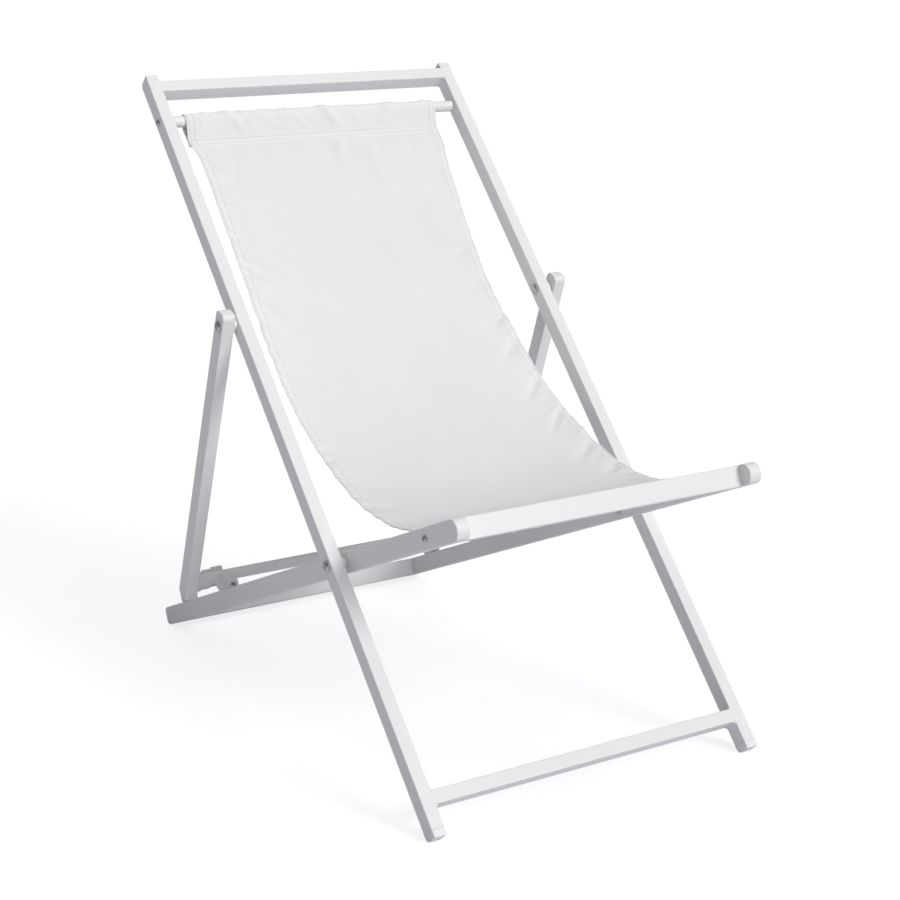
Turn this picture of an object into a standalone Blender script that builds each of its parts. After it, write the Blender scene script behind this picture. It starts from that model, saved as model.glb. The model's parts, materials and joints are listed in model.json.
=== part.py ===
"""Folding sling sun lounger: three aluminium frames, a fabric sling and plastic racks."""

import math

import bmesh
import bpy
from mathutils import Matrix, Vector

# ---------------------------------------------------------------- driving dimensions, metres
RAIL_W = 0.020                 # every frame tube, across the lounger
BACK_D = 0.026                 # back frame and prop tubes, front to rear
SEAT_D = 0.030                 # seat frame tubes, top to bottom
WALL = 0.002
EDGE_R = 0.0015                # rounding along the tubes' edges
GAP = 0.0003                   # clearance between touching pieces

BACK_OUT = 0.275               # outer face of a back rail from the middle
SPACER = 0.0075                # nylon spacer between two members
BACK_ANGLE = math.radians(46.7)
BACK_FROM = 0.031              # rail's cut ends, measured along the rail from the floor line
BACK_TO = 1.272
TOP_CAP = 0.009
CROSS_TOP = 1.250              # lower side of the top crossbar
CROSS_BOTTOM = 0.0624          # lower side of the bottom crossbar
CROSS_H = 0.020
MAIN_PIVOT = 0.4275
PROP_PIVOT = 0.829
TOP_ROD = (1.2009, -0.0155)    # along the rail, and behind its front face
ROD_R = 0.009

SEAT_FRONT = 0.313             # cut ends of the seat rails from the main pivot
SEAT_REAR = 0.697
SEAT_CAP = 0.012
FRONT_BAR = 0.3044             # front face of the front crossbar
FRONT_ROD = 0.241

PROP_ANGLE = math.radians(20.0)  # prop legs lean rearward as they go down
PROP_TOP = 0.013
PROP_END = 0.493
PROP_CAP = 0.010
PROP_ROD = 0.4762

RACK_W = 0.018
RACK_NOSE = -0.0435            # front face, from the first notch
NOTCH_R = ROD_R + GAP
PITCH = 0.0406
NOTCHES = 4
FIN_TOP = 0.041                # above the seat rail
LAND_TOP = 0.019
FIN_T = 0.0054

SLING_HALF = 0.225
SLING_T = 0.0014
SAG = (0.36, 0.38)             # how far the sling keeps its direction at the top and bottom rod

BOLT_R = 0.0035
CAP_R = 0.009                  # rounding of a cap's end, seen from the side
ROUND = (CAP_R, CAP_R)         # how a cap's edge is rounded: depth, length
CRISP = (0.0018, 0.0018)
NOSE = (0.0138, 0.0116)
PLUG = 0.014                   # how far a cap's plug goes into its tube
SHORT_PLUG = 0.006             # above the prop pivot's bolt

Y_SHIFT = -0.4777              # puts the middle of the lounger over the origin

# ---------------------------------------------------------------- positions that follow
back_up = Vector((0, math.cos(BACK_ANGLE), math.sin(BACK_ANGLE)))
back_front = Vector((0, -math.sin(BACK_ANGLE), math.cos(BACK_ANGLE)))
back_in = BACK_OUT - RAIL_W
seat_out = back_in - SPACER
seat_in = seat_out - RAIL_W
prop_in = BACK_OUT + SPACER
prop_out = prop_in + RAIL_W


def on_back(x, along, behind=0.0):
    return Vector((x, Y_SHIFT, 0)) + back_up * along + back_front * behind


main_pivot = on_back(0, MAIN_PIVOT, -BACK_D / 2)
prop_pivot = on_back(0, PROP_PIVOT, -BACK_D / 2)

# the seat frame leans down until the rounded rear caps rest on the floor
reach = SEAT_REAR + SEAT_CAP - CAP_R
drop = SEAT_D / 2 - CAP_R
SEAT_ANGLE = (math.asin((main_pivot.z - CAP_R) / math.hypot(reach, drop))
              - math.atan2(drop, reach))
seat_fwd = Vector((0, -math.cos(SEAT_ANGLE), math.sin(SEAT_ANGLE)))
seat_up = Vector((0, math.sin(SEAT_ANGLE), math.cos(SEAT_ANGLE)))
prop_down = Vector((0, math.sin(PROP_ANGLE), -math.cos(PROP_ANGLE)))
prop_front = Vector((0, -math.cos(PROP_ANGLE), -math.sin(PROP_ANGLE)))

# length below the floor line's start that lets the rounded foot cap just touch the floor
foot_centre = (CAP_R + (BACK_D - CAP_R) * math.cos(BACK_ANGLE)) / math.sin(BACK_ANGLE)
FOOT_CAP = BACK_FROM - (foot_centre - CAP_R)


def on_seat(x, ahead, above=0.0):
    return main_pivot + Vector((x, 0, 0)) + seat_fwd * ahead + seat_up * above


def on_prop(x, down, ahead=0.0):
    return prop_pivot + Vector((x, 0, 0)) + prop_down * down + prop_front * ahead


# ---------------------------------------------------------------- materials
def material(name, colour, roughness, metallic=0.0):
    mat = bpy.data.materials.new(name)
    mat.use_nodes = True
    shader = mat.node_tree.nodes["Principled BSDF"]
    shader.inputs["Base Color"].default_value = (*colour, 1)
    shader.inputs["Roughness"].default_value = roughness
    shader.inputs["Metallic"].default_value = metallic
    mat.diffuse_color = (*colour, 1)
    return mat


for old in list(bpy.data.objects):
    bpy.data.objects.remove(old)

WHITE_COAT = material("white_powder_coat", (0.86, 0.86, 0.85), 0.42)
ROD_COAT = material("white_rod_coat", (0.84, 0.84, 0.82), 0.36)
CAP_PLASTIC = material("white_cap_plastic", (0.85, 0.85, 0.84), 0.48)
RACK_PLASTIC = material("white_rack_plastic", (0.82, 0.82, 0.80), 0.5)
NYLON = material("white_nylon", (0.9, 0.9, 0.9), 0.4)
STEEL = material("stainless_steel", (0.6, 0.6, 0.6), 0.28, 1.0)
CANVAS = material("white_canvas", (0.85, 0.86, 0.87), 0.9)


# ---------------------------------------------------------------- modelling helpers
def finish(name, bm, mat, smooth=False, place=None):
    bmesh.ops.recalc_face_normals(bm, faces=bm.faces)
    mesh = bpy.data.meshes.new(name)
    bm.to_mesh(mesh)
    bm.free()
    mesh.materials.append(mat)
    if smooth:
        mesh.shade_smooth()
        mesh.set_sharp_from_angle(angle=math.radians(35))
    obj = bpy.data.objects.new(name, mesh)
    bpy.context.collection.objects.link(obj)
    if place:
        obj.matrix_world = place
    return obj


def frame_at(point, x_dir, y_dir, z_dir):
    """Placement with the given local axes at a point."""
    turn = Matrix((x_dir, y_dir, z_dir)).transposed().to_4x4()
    return Matrix.Translation(point) @ turn


def rounded_loop(half_x, half_y, radius, shift=0.0, height=0.0):
    """Points of a rectangle with rounded corners, anticlockwise."""
    points = []
    for side_x, side_y, first in ((1, 1, 0), (-1, 1, 90), (-1, -1, 180), (1, -1, 270)):
        for i in range(4):
            t = math.radians(first + 30 * i)
            points.append((side_x * (half_x - radius) + radius * math.cos(t),
                           side_y * (half_y - radius) + radius * math.sin(t) + shift, height))
    return points


def round_face(bm, radius, segments):
    bmesh.ops.create_circle(bm, cap_ends=True, radius=radius, segments=segments)
    bm.faces.ensure_lookup_table()
    return bm.faces[0]


def pull(bm, geometry, vector, keep=False):
    """Extrudes faces along a vector and returns the new faces; keep leaves the first ones."""
    made = bmesh.ops.extrude_face_region(bm, geom=geometry, use_keep_orig=True)["geom"]
    if not keep:
        bmesh.ops.delete(bm, geom=geometry, context="FACES_ONLY")
    verts = [g for g in made if isinstance(g, bmesh.types.BMVert)]
    bmesh.ops.translate(bm, verts=verts, vec=vector)
    return [g for g in made if isinstance(g, bmesh.types.BMFace)]


def hollow(name, half_x, half_y, length, mat, place):
    """Rectangular tube, open at both ends, along its local Z."""
    bm = bmesh.new()
    outer = [bm.verts.new(p) for p in rounded_loop(half_x, half_y, EDGE_R)]
    inner = [bm.verts.new(p) for p in rounded_loop(half_x - WALL, half_y - WALL, 0.0005)]
    for i in range(len(outer)):
        j = (i + 1) % len(outer)
        bm.faces.new((outer[i], outer[j], inner[j], inner[i]))
    pull(bm, bm.faces[:], (0, 0, length), keep=True)
    return finish(name, bm, mat, place=place)


def ring(name, outer, inner, length, mat, place):
    bm = bmesh.new()
    face = round_face(bm, outer, 20)
    bmesh.ops.inset_region(bm, faces=[face], thickness=outer - inner, use_boundary=True,
                            use_even_offset=True)
    bmesh.ops.delete(bm, geom=[face], context="FACES_ONLY")
    pull(bm, bm.faces[:], (0, 0, length), keep=True)
    return finish(name, bm, mat, True, place)


def stack(name, bm, face, sections, mat, smooth=False, place=None, base=0.0):
    """Solid of stacked sections: each is (height, x scale, y scale) of the first face."""
    bmesh.ops.translate(bm, verts=face.verts[:], vec=(0, 0, base))
    last = (1.0, 1.0)
    height = base
    keep = True
    for z, sx, sy in sections:
        face = pull(bm, [face], (0, 0, z - height), keep)[0]
        keep = False
        bmesh.ops.scale(bm, verts=face.verts[:], vec=(sx / last[0], sy / last[1], 1))
        last = (sx, sy)
        height = z
    return finish(name, bm, mat, smooth, place)


def turned(name, sections, mat, place, segments=20):
    """Round solid from (height, radius) sections."""
    bm = bmesh.new()
    first = sections[0][1]
    face = round_face(bm, first, segments)
    steps = [(z, r / first, r / first) for z, r in sections[1:]]
    return stack(name, bm, face, steps, mat, True, place, sections[0][0])


def cut_back(edge, below):
    """How far a rounded edge has drawn in at a distance below the cap's end."""
    deep, long = edge
    if below >= long:
        return 0.0
    return deep * (1 - math.sqrt(1 - ((long - below) / long) ** 2))


def end_cap(name, half_x, half_y, rise, place, minus, plus, plug=PLUG):
    """Plastic cap: plug, flange the size of the tube, edges at -Y and +Y rounded as given."""
    inner_x = half_x - WALL - GAP
    inner_y = half_y - WALL - GAP
    loops = [rounded_loop(inner_x, inner_y, 0.0012, 0.0, z) for z in (0.0, plug)]
    long = max(minus[1], plus[1])
    below = [long * (1 - math.sin(math.radians(18 * i))) for i in range(6)]
    if rise - long > 0.0001:
        below = [rise] + below
    for h in below:
        low = cut_back(minus, h) - half_y
        high = half_y - cut_back(plus, h)
        wide = half_x - cut_back(CRISP, h)
        deep = (high - low) / 2
        loops.append(rounded_loop(wide, deep, min(EDGE_R, deep * 0.4), (high + low) / 2,
                                  plug + rise - h))
    bm = bmesh.new()
    rows = [[bm.verts.new(p) for p in loop] for loop in loops]
    count = len(rows[0])
    for first, after in zip(rows, rows[1:]):
        for i in range(count):
            j = (i + 1) % count
            bm.faces.new((first[i], first[j], after[j], after[i]))
    bm.faces.new(rows[0][::-1])
    bm.faces.new(rows[-1])
    return finish(name, bm, CAP_PLASTIC, True, place)


def cutter(radius, length, place, segments=16):
    bm = bmesh.new()
    bmesh.ops.create_cone(bm, cap_ends=True, segments=segments, radius1=radius,
                          radius2=radius, depth=length, matrix=Matrix.Rotation(0.13, 4, "Z"))
    tool = finish("cutter", bm, STEEL, place=place)
    tool.hide_render = True
    tool.display_type = "WIRE"
    return tool


def cut(target, tool):
    mod = target.modifiers.new("hole", "BOOLEAN")
    mod.operation = "DIFFERENCE"
    mod.solver = "EXACT"
    mod.object = tool


def across(point, side=1):
    """Placement with local Z along the lounger's width, pointing outward on that side."""
    return frame_at(point, Vector((0, side, 0)), Vector((0, 0, 1)), Vector((side, 0, 0)))


X = Vector((1, 0, 0))
SIDES = (("left", -1), ("right", 1))


def crossbar(name, half, along, up, deep, centre, mat):
    """Tube between two rails: local Z runs across, `deep` and `up` are its section."""
    place = frame_at(centre - X * half, up[0], deep[0], X)
    return hollow(name, up[1] / 2, deep[1] / 2, 2 * half, mat, place)


# ---------------------------------------------------------------- back frame
back_rails = {}
for side, s in SIDES:
    x = s * (BACK_OUT - RAIL_W / 2)
    start = on_back(x, BACK_FROM, -BACK_D / 2)
    rail = hollow("back_rail_" + side, RAIL_W / 2, BACK_D / 2, BACK_TO - BACK_FROM,
                  WHITE_COAT, frame_at(start, X, back_front * -1, back_up))
    back_rails[s] = rail
    end_cap("back_top_cap_" + side, RAIL_W / 2, BACK_D / 2, TOP_CAP,
            frame_at(on_back(x, BACK_TO + GAP - PLUG, -BACK_D / 2), X, back_front * -1, back_up),
            CRISP, ROUND)
    end_cap("back_foot_cap_" + side, RAIL_W / 2, BACK_D / 2, FOOT_CAP - GAP,
            frame_at(on_back(x, BACK_FROM - GAP + PLUG, -BACK_D / 2), X, back_front, back_up * -1),
            ROUND, CRISP)

half = back_in - GAP
crossbar("back_top_crossbar", half, X, (back_up, CROSS_H), (back_front * -1, BACK_D),
         on_back(0, CROSS_TOP + CROSS_H / 2, -BACK_D / 2), WHITE_COAT)
crossbar("back_bottom_crossbar", half, X, (back_up, CROSS_H), (back_front * -1, BACK_D),
         on_back(0, CROSS_BOTTOM + CROSS_H / 2, -BACK_D / 2), WHITE_COAT)

# ---------------------------------------------------------------- seat frame
seat_rails = {}
for side, s in SIDES:
    x = s * (seat_out - RAIL_W / 2)
    rail = hollow("seat_rail_" + side, RAIL_W / 2, SEAT_D / 2, SEAT_FRONT + SEAT_REAR, WHITE_COAT,
                  frame_at(on_seat(x, -SEAT_REAR), X, seat_up * -1, seat_fwd))
    seat_rails[s] = rail
    end_cap("seat_front_cap_" + side, RAIL_W / 2, SEAT_D / 2, SEAT_CAP - GAP,
            frame_at(on_seat(x, SEAT_FRONT + GAP - PLUG), X, seat_up * -1, seat_fwd), NOSE, NOSE)
    end_cap("seat_rear_cap_" + side, RAIL_W / 2, SEAT_D / 2, SEAT_CAP - GAP,
            frame_at(on_seat(x, -SEAT_REAR - GAP + PLUG), X, seat_up, seat_fwd * -1),
            ROUND, ROUND)

half = seat_in - GAP
crossbar("seat_front_crossbar", half, X, (seat_fwd, RAIL_W), (seat_up, SEAT_D),
         on_seat(0, FRONT_BAR - RAIL_W / 2), WHITE_COAT)
crossbar("seat_rear_crossbar", half, X, (seat_fwd, RAIL_W), (seat_up, SEAT_D),
         on_seat(0, -SEAT_REAR + RAIL_W / 2), WHITE_COAT)

# ---------------------------------------------------------------- prop
prop_legs = {}
for side, s in SIDES:
    x = s * (prop_in + RAIL_W / 2)
    leg = hollow("prop_leg_" + side, RAIL_W / 2, BACK_D / 2, PROP_TOP + PROP_END, WHITE_COAT,
                 frame_at(on_prop(x, -PROP_TOP), X, prop_front * -1, prop_down))
    prop_legs[s] = leg
    end_cap("prop_top_cap_" + side, RAIL_W / 2, BACK_D / 2, PROP_CAP,
            frame_at(on_prop(x, -PROP_TOP - GAP + SHORT_PLUG), X, prop_front, prop_down * -1),
            ROUND, ROUND, SHORT_PLUG)
    end_cap("prop_end_cap_" + side, RAIL_W / 2, BACK_D / 2, PROP_CAP,
            frame_at(on_prop(x, PROP_END + GAP - PLUG), X, prop_front * -1, prop_down),
            CRISP, ROUND)


# ---------------------------------------------------------------- rods
def rod(name, half_length, centre):
    place = frame_at(centre - X * half_length, Vector((0, 1, 0)), Vector((0, 0, -1)) * -1, X)
    return turned(name, ((0, ROD_R - 0.001), (0.001, ROD_R), (2 * half_length - 0.001, ROD_R),
                         (2 * half_length, ROD_R - 0.001)), ROD_COAT, place, 28)


top_rod_at = on_back(0, *TOP_ROD)
front_rod_at = on_seat(0, FRONT_ROD)
prop_rod_at = on_prop(0, PROP_ROD)
top_rod = rod("sling_rod_top", back_in - GAP, top_rod_at)
front_rod = rod("sling_rod_front", seat_in - GAP, front_rod_at)
rod("prop_rod", prop_in - GAP, prop_rod_at)


def screw(name, radius, head_r, head_h, length, place):
    """Round-head screw with a driver recess; its head sits on the plane of the placement."""
    turned(name, ((-length, radius), (GAP, radius), (GAP, head_r), (head_h * 0.45, head_r),
                  (head_h * 0.85, head_r * 0.78), (head_h, head_r * 0.5),
                  (head_h * 0.4, head_r * 0.42)), STEEL, place)


def rod_screws(prefix, target, rails, centre, outer):
    depth = RAIL_W + 0.014
    for side, s in SIDES:
        at = centre + X * (s * outer)
        screw(prefix + side, 0.0025, 0.0052, 0.003, depth, across(at, s))
        tool = cutter(0.0028, 2 * depth + 0.004, across(at, s))
        cut(rails[s], tool)
        cut(target, tool)


rod_screws("top_rod_screw_", top_rod, back_rails, top_rod_at, BACK_OUT)
rod_screws("front_rod_screw_", front_rod, seat_rails, front_rod_at, seat_out)


# ---------------------------------------------------------------- pivots
def pivot(prefix, centre, outer_rails, inner_rails, outer):
    """Bolt from the outside, nylon spacer between the members, sleeve nut from the inside."""
    inner = outer - 2 * RAIL_W - SPACER
    for side, s in SIDES:
        at_out = centre + X * (s * outer)
        at_in = centre + X * (s * inner)
        bolt_long = 2 * RAIL_W + SPACER - 0.010
        turned(prefix + "_bolt_" + side,
               ((-bolt_long, BOLT_R), (GAP, BOLT_R), (GAP, 0.0085), (0.0015, 0.0085),
                (0.0034, 0.0068), (0.0042, 0.0045), (0.0022, 0.0036)),
               STEEL, across(at_out, s), 24)
        nut = turned(prefix + "_nut_" + side,
                     ((-0.0085, 0.0046), (GAP, 0.0046), (GAP, 0.0075), (0.0016, 0.0075),
                      (0.0036, 0.0056), (0.0042, 0.003)),
                     STEEL, across(at_in, -s), 24)
        ring(prefix + "_spacer_" + side, 0.0085, BOLT_R + 0.0009, SPACER - 2 * GAP, NYLON,
             across(centre + X * (s * (inner + RAIL_W + GAP)), s))
        tool = cutter(BOLT_R + GAP, 0.12, across(at_out, s))
        sleeve = cutter(0.0046 + GAP, 0.020, across(at_in, s))
        cut(outer_rails[s], tool)
        cut(inner_rails[s], tool)
        cut(inner_rails[s], sleeve)
        bore = cutter(BOLT_R + GAP, 0.034, across(centre + X * (s * (inner + 0.0155)), s))
        cut(nut, bore)


pivot("main_pivot", main_pivot, back_rails, seat_rails, BACK_OUT)
pivot("prop_pivot", prop_pivot, prop_legs, back_rails, prop_out)


# ---------------------------------------------------------------- racks
def rack_outline():
    """Side outline: u runs rearward from the first notch, v up from the seat rail."""
    rod_v = (prop_rod_at - main_pivot).dot(seat_up) - SEAT_D / 2
    lip = rod_v - 0.0005
    points = [(RACK_NOSE, 0.0004), (RACK_NOSE, 0.0092), (RACK_NOSE + 0.0008, 0.0103),
              (RACK_NOSE + 0.0150, lip - 0.0008), (RACK_NOSE + 0.0168, lip)]
    for n in range(NOTCHES):
        u = n * PITCH
        top = lip if n == 0 else LAND_TOP
        start = math.pi + math.asin((rod_v - top) / NOTCH_R)
        for i in range(11):
            t = start + (2 * math.pi - start) * i / 10
            points.append((u + NOTCH_R * math.cos(t), rod_v + NOTCH_R * math.sin(t)))
        a = u + NOTCH_R
        b = a + FIN_T
        points += [(a, FIN_TOP - 0.002), (a + 0.0008, FIN_TOP - 0.0005), (a + 0.0025, FIN_TOP),
                   (b - 0.0025, FIN_TOP), (b - 0.0008, FIN_TOP - 0.0005), (b, FIN_TOP - 0.002),
                   (b, LAND_TOP + 0.002), (b + 0.002, LAND_TOP)]
    tail = (NOTCHES - 1) * PITCH + 0.042
    points += [(tail - 0.004, LAND_TOP), (tail, LAND_TOP - 0.004), (tail, 0.0004)]
    foot = (NOTCHES - 1) * PITCH + 0.017
    points += [(foot, 0.0004)]
    floor_v = rod_v - NOTCH_R - 0.0035
    for n in reversed(range(1, NOTCHES)):
        u = n * PITCH
        points += [(u + 0.009, 0.0135), (u + 0.005, floor_v), (u - 0.005, floor_v), (u - 0.009, 0.0135)]
    points += [(0.012, 0.0135), (0.008, floor_v), (-0.003, 0.0004)]
    return points


rack_zero = (prop_rod_at - main_pivot).dot(seat_fwd)
rack_base = SEAT_D / 2
for side, s in SIDES:
    bm = bmesh.new()
    verts = [bm.verts.new((u, v, 0)) for u, v in rack_outline()]
    pull(bm, [bm.faces.new(verts)], (0, 0, RACK_W), keep=True)
    x = s * (seat_out - RAIL_W / 2)
    # local X rearward, local Y up from the rail, local Z across
    at = on_seat(x, rack_zero, rack_base) + X * (RACK_W / 2)
    rack = finish("rack_" + side, bm, RACK_PLASTIC,
                  place=frame_at(at, seat_fwd * -1, seat_up, X * -1))
    slant = (seat_fwd * 0.866 + seat_up * 0.5).normalized()
    for label, ahead, deep, out in (
            ("front", rack_zero - RACK_NOSE - 0.0036, 0.0022, slant),
            ("rear", rack_zero - (NOTCHES - 1) * PITCH - 0.030, 0.0045, seat_up)):
        at = on_seat(x, ahead, rack_base + deep)
        place = frame_at(at, X, out.cross(X), out)
        screw("rack_screw_" + label + "_" + side, 0.0019, 0.0035, 0.0024, 0.013, place)
        cut(rack, cutter(0.0022, 0.06, place))
        pocket = cutter(0.0040, 0.030, frame_at(at + out * 0.015, X, out.cross(X), out))
        cut(rack, pocket)
        cut(seat_rails[s], pocket)
        cut(seat_rails[s], cutter(0.0022, 0.03, place))


# ---------------------------------------------------------------- sling
def bezier(points, count):
    out = []
    for i in range(count + 1):
        t = i / count
        a, b, c, d = ((1 - t) ** 3, 3 * t * (1 - t) ** 2, 3 * t * t * (1 - t), t ** 3)
        out.append(a * points[0] + b * points[1] + c * points[2] + d * points[3])
    return out


def wrap(centre, radius, start, stop, count):
    """Arc about a rod; angles from the rear (+Y) towards up (+Z)."""
    return [centre + Vector((math.cos(start + (stop - start) * i / count),
                             math.sin(start + (stop - start) * i / count))) * radius
            for i in range(count + 1)]


def sling_path():
    sleeve = ROD_R + 0.0012 + SLING_T / 2
    top = Vector((top_rod_at.y, top_rod_at.z))
    low = Vector((front_rod_at.y, front_rod_at.z))
    # the fabric comes off the front of the top rod and the underside of the front rod
    leave = math.radians(155)
    land = math.radians(255)
    upper = wrap(top, sleeve, leave - math.radians(325), leave, 22)
    lower = wrap(low, sleeve, land, land - math.radians(325), 22)
    a = upper[-1]
    d = lower[0]
    span = (a - d).length
    way_a = Vector((-math.sin(leave), math.cos(leave)))
    way_d = Vector((math.sin(land), -math.cos(land)))
    body = bezier((a, a + way_a * span * SAG[0], d - way_d * span * SAG[1], d), 40)
    return upper[:-1] + body + lower[1:]


def sling():
    path = sling_path()
    left, right = [], []
    for i, p in enumerate(path):
        before = path[max(i - 1, 0)]
        after = path[min(i + 1, len(path) - 1)]
        way = (after - before).normalized()
        off = Vector((-way.y, way.x)) * (SLING_T / 2)
        left.append(p + off)
        right.append(p - off)
    bm = bmesh.new()
    rows = []
    for x in (-SLING_HALF, SLING_HALF):
        rows.append([[bm.verts.new((x, q.x, q.y)) for q in line] for line in (left, right)])
    (la, ra), (lb, rb) = rows
    for i in range(len(path) - 1):
        bm.faces.new((la[i], la[i + 1], lb[i + 1], lb[i]))
        bm.faces.new((ra[i], ra[i + 1], rb[i + 1], rb[i]))
        bm.faces.new((la[i], la[i + 1], ra[i + 1], ra[i]))
        bm.faces.new((lb[i], lb[i + 1], rb[i + 1], rb[i]))
    bm.faces.new((la[0], lb[0], rb[0], ra[0]))
    bm.faces.new((la[-1], lb[-1], rb[-1], ra[-1]))
    return finish("sling", bm, CANVAS, True)


sling()

# ---------------------------------------------------------------- moving frames hang on their pivots
def hang(name, centre, pieces):
    empty = bpy.data.objects.new(name, None)
    empty.location = centre
    empty.empty_display_size = 0.05
    bpy.context.collection.objects.link(empty)
    bpy.context.view_layer.update()
    for obj in bpy.data.objects:
        if obj.type == "MESH" and not obj.hide_render and obj.name.startswith(pieces):
            obj.parent = empty
            obj.matrix_parent_inverse = empty.matrix_world.inverted()


hang("seat_pivot_axis", main_pivot,
     ("seat_", "sling_rod_front", "front_rod_screw", "rack_"))
hang("prop_pivot_axis", prop_pivot,
     ("prop_leg", "prop_rod", "prop_top_cap", "prop_end_cap"))
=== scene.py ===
import json
import math
import random

import bpy
import numpy as np
from mathutils import Matrix, Vector

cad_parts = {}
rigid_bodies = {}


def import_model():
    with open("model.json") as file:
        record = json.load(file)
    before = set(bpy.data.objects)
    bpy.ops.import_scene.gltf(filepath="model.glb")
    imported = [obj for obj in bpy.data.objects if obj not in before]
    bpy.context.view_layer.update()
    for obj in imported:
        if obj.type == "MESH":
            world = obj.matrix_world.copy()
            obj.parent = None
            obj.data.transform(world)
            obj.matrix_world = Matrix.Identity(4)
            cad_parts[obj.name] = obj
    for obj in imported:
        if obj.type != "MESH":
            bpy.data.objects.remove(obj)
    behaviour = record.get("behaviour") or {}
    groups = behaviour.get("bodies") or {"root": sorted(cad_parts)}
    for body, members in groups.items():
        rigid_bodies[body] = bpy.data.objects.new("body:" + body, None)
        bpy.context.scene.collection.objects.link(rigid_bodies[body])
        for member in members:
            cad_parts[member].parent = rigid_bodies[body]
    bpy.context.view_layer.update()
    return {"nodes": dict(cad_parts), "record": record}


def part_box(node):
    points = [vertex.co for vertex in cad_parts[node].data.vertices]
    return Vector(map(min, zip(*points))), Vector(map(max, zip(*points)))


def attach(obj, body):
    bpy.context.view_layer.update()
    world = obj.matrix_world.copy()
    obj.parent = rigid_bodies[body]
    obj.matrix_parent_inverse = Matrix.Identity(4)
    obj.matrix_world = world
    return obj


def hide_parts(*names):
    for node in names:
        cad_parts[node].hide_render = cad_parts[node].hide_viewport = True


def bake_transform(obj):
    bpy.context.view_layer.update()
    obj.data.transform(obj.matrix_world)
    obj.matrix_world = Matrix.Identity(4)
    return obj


# the start-up cube, lamp and camera go first
for leftOver in list(bpy.data.objects):
    bpy.data.objects.remove(leftOver)

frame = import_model()
nodes = frame["nodes"]
print("frame loaded:", len(nodes), "nodes")


# camera and studio
cameraFacts = {
    "place": (-1.43091, -2.37097, 1.17895),
    "heading": 31.7036,      # degrees to the right of straight ahead
    "dip": 15.9567,
    "roll": 0.1730,
    "lens": 75.455,
    "sensor": 36.0,
}


def setCamera(facts):
    data = bpy.data.cameras.new("studioCamera")
    data.lens = facts["lens"]
    data.sensor_width = facts["sensor"]
    data.clip_end = 400
    camera = bpy.data.objects.new("studioCamera", data)
    bpy.context.collection.objects.link(camera)
    heading = Matrix.Rotation(math.radians(-facts["heading"]), 4, "Z")
    tilt = Matrix.Rotation(math.radians(90 - facts["dip"]), 4, "X")
    roll = Matrix.Rotation(math.radians(facts["roll"]), 4, "Z")
    camera.matrix_world = Matrix.Translation(facts["place"]) @ heading @ tilt @ roll
    bpy.context.scene.camera = camera


setCamera(cameraFacts)

studio = {
    "suns": {
        # toward the light, strength, softness in degrees, colour
        "frontSoftbox": ((0.34, -0.80, 0.58), 1.56, 22, (1.0, 0.997, 0.985)),
        "lowFill": ((-0.10, -1.0, 0.06), 0.44, 50, (1.0, 1.0, 1.0)),
        "topSoftbox": ((0.05, -0.10, 1.0), 1.06, 70, (0.99, 0.995, 1.0)),
        "rearSoftbox": ((-0.35, 0.75, 0.55), 0.20, 60, (0.97, 0.98, 1.0)),
    },
    "roomColour": (0.86, 0.88, 1.0),
    "roomLight": 0.12,
    "floorSize": 120.0,
    "floorBounce": (0.800, 0.805, 0.855, 1.0),
    "floorShade": 0.36,
    "floorGlow": 0.77,
}


def addSun(name, toward, strength, softness, colour):
    data = bpy.data.lights.new(name, "SUN")
    data.energy = strength
    data.angle = math.radians(softness)
    data.color = colour
    sun = bpy.data.objects.new(name, data)
    bpy.context.collection.objects.link(sun)
    sun.rotation_mode = "QUATERNION"
    sun.rotation_quaternion = Vector(toward).to_track_quat("Z", "Y")
    sun.location = Vector(toward).normalized() * 4


for sunName, sunFacts in studio["suns"].items():
    addSun(sunName, *sunFacts)


# shader helpers
class Wire:
    # a socket that takes plain arithmetic, each operator adds a Math node
    def __init__(self, look, socket):
        self.look = look
        self.socket = socket

    def work(self, operation, first, second):
        return self.look.work(operation, first, second)

    def __add__(self, other):
        return self.work("ADD", self, other)

    def __radd__(self, other):
        return self.work("ADD", other, self)

    def __sub__(self, other):
        return self.work("SUBTRACT", self, other)

    def __rsub__(self, other):
        return self.work("SUBTRACT", other, self)

    def __mul__(self, other):
        return self.work("MULTIPLY", self, other)

    def __rmul__(self, other):
        return self.work("MULTIPLY", other, self)

    def __gt__(self, other):
        return self.work("GREATER_THAN", self, other)

    def __lt__(self, other):
        return self.work("LESS_THAN", self, other)


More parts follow.
